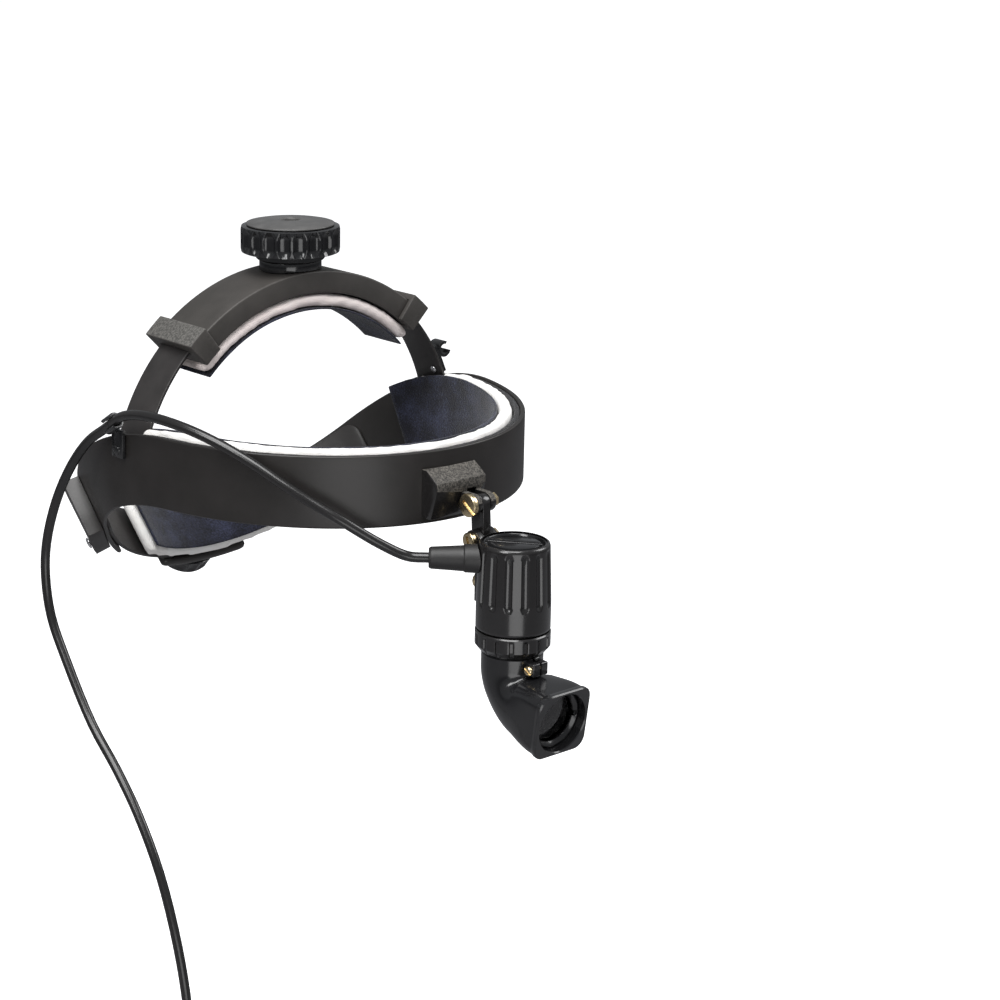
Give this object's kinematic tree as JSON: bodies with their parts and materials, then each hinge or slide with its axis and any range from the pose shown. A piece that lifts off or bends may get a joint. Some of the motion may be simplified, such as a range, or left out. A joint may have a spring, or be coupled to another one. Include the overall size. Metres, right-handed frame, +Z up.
{
  "type": "head-worn examination lamp",
  "caption": "Head-worn lamp: padded brow band with crown strap and nape ratchet, jointed arm, and a barrel lamp with a turning right-angle mirror head on a cord.",
  "frame": {"origin": "middle of the wearer's head at the height of the middle of the brow band", "axes": "+Z up along the head, -Y the way the wearer looks, -X the wearer's right side, where the cord runs"},
  "size_m": [0.2028, 0.2735, 0.4462],
  "materials": {
    "shell_plastic": "satin moulded black-brown plastic",
    "strap_plastic": "flexible strap, fine satin",
    "crown_plastic": "matte dark grey-brown plastic",
    "speckled_plastic": "rough, speckled grey",
    "gloss_black": "glossy black",
    "lamp_metal": "glossy black enamel on aluminium",
    "knob_cap": "satin, finely textured",
    "felt": "black felt",
    "foam": "fine open-cell foam, off-white",
    "crown_foam": "fine open-cell foam, pinkish white",
    "velour": "navy velour",
    "brass": "bright turned brass",
    "rivet_steel": "bright",
    "sink_aluminium": "turned",
    "emitter": "light source on its board",
    "lens_glass": "clear, coated",
    "mirror_glass": "front-silvered",
    "cord_rubber": "glossy black jacket",
    "boot_rubber": "satin black rubber",
    "plug_black": "semi-gloss black"
  },
  "bodies": {
    "root": {"front_shell": "shell_plastic", "front_felt": "felt", "front_foam": "foam", "front_lining": "velour", "temple_peg_right": "rivet_steel", "temple_peg_left": "rivet_steel", "keeper_right": "gloss_black", "keeper_left": "gloss_black", "keeper_rivet_right": "rivet_steel", "keeper_rivet_left": "rivet_steel", "cable_clip_right": "gloss_black", "lamp_bracket": "speckled_plastic", "arm_screw_upper": "brass", "cord_lead": "cord_rubber", "cord_tail": "cord_rubber", "cord_coil": "cord_rubber", "coil_tie": "boot_rubber", "plug_body": "plug_black", "plug_nut": "plug_black"},
    "crown": {"crown_shell": "crown_plastic", "crown_plate": "strap_plastic", "crown_foam": "crown_foam", "crown_lining": "velour", "crown_collar_right": "speckled_plastic", "crown_collar_left": "speckled_plastic", "crown_knob_collar": "gloss_black"},
    "crown_knob": {"crown_knob_grip": "gloss_black", "crown_knob_cap": "knob_cap", "crown_knob_shaft": "rivet_steel"},
    "side_strap_right": {"side_strap_right": "strap_plastic"},
    "side_strap_left": {"side_strap_left": "strap_plastic", "cable_clip_left": "gloss_black", "clip_rivet_left": "rivet_steel"},
    "rear_band": {"rear_strap_right": "strap_plastic", "rear_strap_left": "strap_plastic", "guide_pin_right": "rivet_steel", "guide_pin_left": "rivet_steel", "rear_housing": "shell_plastic", "rear_back_plate": "strap_plastic", "nape_foam": "foam", "nape_lining": "velour"},
    "rear_knob": {"rear_knob_shaft": "rivet_steel", "rear_knob_grip": "gloss_black", "rear_knob_cap": "knob_cap"},
    "arm": {"arm_link": "lamp_metal"},
    "lamp": {"arm_screw_lower": "brass", "lamp_mount_plate": "lamp_metal", "lamp_mount_screw": "brass", "lamp_barrel": "lamp_metal", "heat_sink": "sink_aluminium", "light_source": "emitter", "condenser_lens": "lens_glass", "strain_relief": "boot_rubber"},
    "lamp_cap": {"lamp_cap": "gloss_black"},
    "focus_ring": {"focus_ring": "lamp_metal"},
    "elbow": {"elbow": "gloss_black", "pinch_screw": "brass", "mirror": "mirror_glass", "front_lens": "lens_glass", "lens_retainer": "gloss_black"}
  },
  "joints": [
    {"name": "crown_lift", "type": "slide", "parent": "root", "child": "crown", "axis": [0, 0, 1], "range_m": [0, 0.012]},
    {"name": "crown_knob_turn", "type": "hinge", "parent": "crown", "child": "crown_knob", "pos_m": [0, 0.005, 0.08], "axis": [0, 0, 1], "range_deg": [0, 138]},
    {"name": "side_strap_left_slide", "type": "hinge", "parent": "crown", "child": "side_strap_left", "pos_m": [0, 0.005, -0.0186], "axis": [0, 1, 0], "range_deg": [0, 7.91]},
    {"name": "side_strap_right_slide", "type": "hinge", "parent": "crown", "child": "side_strap_right", "pos_m": [0, 0.005, -0.0186], "axis": [0, 1, 0], "range_deg": [-7.91, 0]},
    {"name": "rear_tighten", "type": "slide", "parent": "root", "child": "rear_band", "axis": [0, 0.6884, -0.7254], "range_m": [-0.008, 0]},
    {"name": "rear_knob_turn", "type": "hinge", "parent": "rear_band", "child": "rear_knob", "pos_m": [0, 0.0835, -0.068], "axis": [0, 0.6884, -0.7254], "range_deg": [-92, 0]},
    {"name": "arm_swing", "type": "hinge", "parent": "root", "child": "arm", "pos_m": [0, -0.1195, -0.006], "axis": [1, 0, 0], "range_deg": [-60, 10], "deforming": ["cord_lead"]},
    {"name": "lamp_tilt", "type": "hinge", "parent": "arm", "child": "lamp", "pos_m": [0, -0.1205, -0.0205], "axis": [1, 0, 0], "range_deg": [-15, 20], "deforming": ["cord_lead"]},
    {"name": "lamp_cap_turn", "type": "hinge", "parent": "lamp", "child": "lamp_cap", "pos_m": [0, -0.14, -0.019], "axis": [0, 0, 1], "range_deg": [0, 60]},
    {"name": "focus_turn", "type": "hinge", "parent": "lamp", "child": "focus_ring", "pos_m": [0, -0.14, -0.058], "axis": [0, 0, 1], "range_deg": [0, 90]},
    {"name": "elbow_turn", "type": "hinge", "parent": "lamp", "child": "elbow", "pos_m": [0, -0.14, -0.066], "axis": [0, 0, 1], "range_deg": [-90, 90]}
  ],
  "couplings": [
    {"joint": "crown_knob_turn", "follows": "crown_lift", "rad_per_m": 200},
    {"joint": "side_strap_left_slide", "follows": "crown_lift", "rad_per_m": 11.494},
    {"joint": "side_strap_right_slide", "follows": "crown_lift", "rad_per_m": -11.494},
    {"joint": "rear_knob_turn", "follows": "rear_tighten", "rad_per_m": 200}
  ]
}
